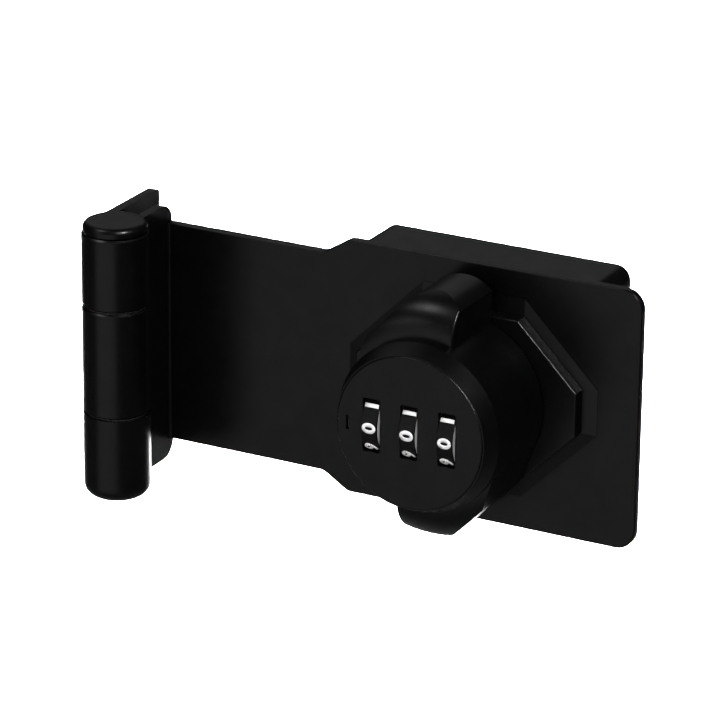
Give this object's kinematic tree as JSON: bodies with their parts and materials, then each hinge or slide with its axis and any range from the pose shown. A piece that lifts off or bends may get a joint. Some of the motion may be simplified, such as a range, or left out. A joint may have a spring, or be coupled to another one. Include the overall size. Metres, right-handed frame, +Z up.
{
  "type": "combination hasp lock",
  "caption": "Black keyless hasp lock: a bent hinged strap with a turning winged knob, number dials and a box-shaped keeper.",
  "frame": {"origin": "where the knob's axis meets the keeper's mounting face", "axes": "+X along the strap away from its hinge; +Y into the furniture, along the knob's axis; +Z up, along the hinge pin"},
  "size_m": [0.0958, 0.0364, 0.0497],
  "materials": {
    "black_coat": "satin",
    "dial_metal": "satin",
    "plain_steel": "satin",
    "bush_brass": "satin",
    "black_nylon": "matte",
    "bumper_rubber": "matte"
  },
  "bodies": {
    "fixed": {"hinge_leaf": "black_coat", "hinge_pin": "black_coat", "hinge_washers": "black_nylon", "keeper_box": "black_coat", "keeper_bumpers": "bumper_rubber", "keeper_strike": "plain_steel", "strike_rivets": "plain_steel"},
    "strap": {"strap_plate": "black_coat", "escutcheon": "black_coat", "escutcheon_rivets": "plain_steel", "spindle_bush": "bush_brass"},
    "knob": {"knob_body": "black_coat", "face_plate": "black_coat", "detent_ball": "plain_steel", "detent_spring": "plain_steel", "dial_frame": "plain_steel", "frame_screws": "plain_steel", "dial_axle": "plain_steel", "dial_spacers": "black_nylon", "dial_detent": "plain_steel", "locking_fence": "bush_brass", "fence_spring": "plain_steel", "spindle": "plain_steel", "retaining_clip": "plain_steel", "latch_bar": "plain_steel", "bar_screw": "plain_steel"},
    "reset": {"reset_tab": "plain_steel"},
    "wheel_1": {"dial_1": "dial_metal", "code_cam_1": "bush_brass"},
    "wheel_2": {"dial_2": "dial_metal", "code_cam_2": "bush_brass"},
    "wheel_3": {"dial_3": "dial_metal", "code_cam_3": "bush_brass"}
  },
  "joints": [
    {"name": "strap_hinge", "type": "hinge", "parent": "fixed", "child": "strap", "pos_m": [-0.0595, -0.0286, 0], "axis": [0, 0, -1], "range_deg": [0, 180]},
    {"name": "knob_turn", "type": "hinge", "parent": "strap", "child": "knob", "pos_m": [0, -0.0153, 0], "axis": [0, 1, 0], "range_deg": [0, 90]},
    {"name": "dial_1_turn", "type": "hinge", "parent": "knob", "child": "wheel_1", "pos_m": [-0.0069, -0.03025, 0], "axis": [1, 0, 0], "continuous": true},
    {"name": "dial_2_turn", "type": "hinge", "parent": "knob", "child": "wheel_2", "pos_m": [0, -0.03025, 0], "axis": [1, 0, 0], "continuous": true},
    {"name": "dial_3_turn", "type": "hinge", "parent": "knob", "child": "wheel_3", "pos_m": [0.0069, -0.03025, 0], "axis": [1, 0, 0], "continuous": true},
    {"name": "reset_push", "type": "slide", "parent": "knob", "child": "reset", "axis": [0, 1, 0], "range_m": [0, 0.0008], "stiffness_N_per_m": 50}
  ]
}
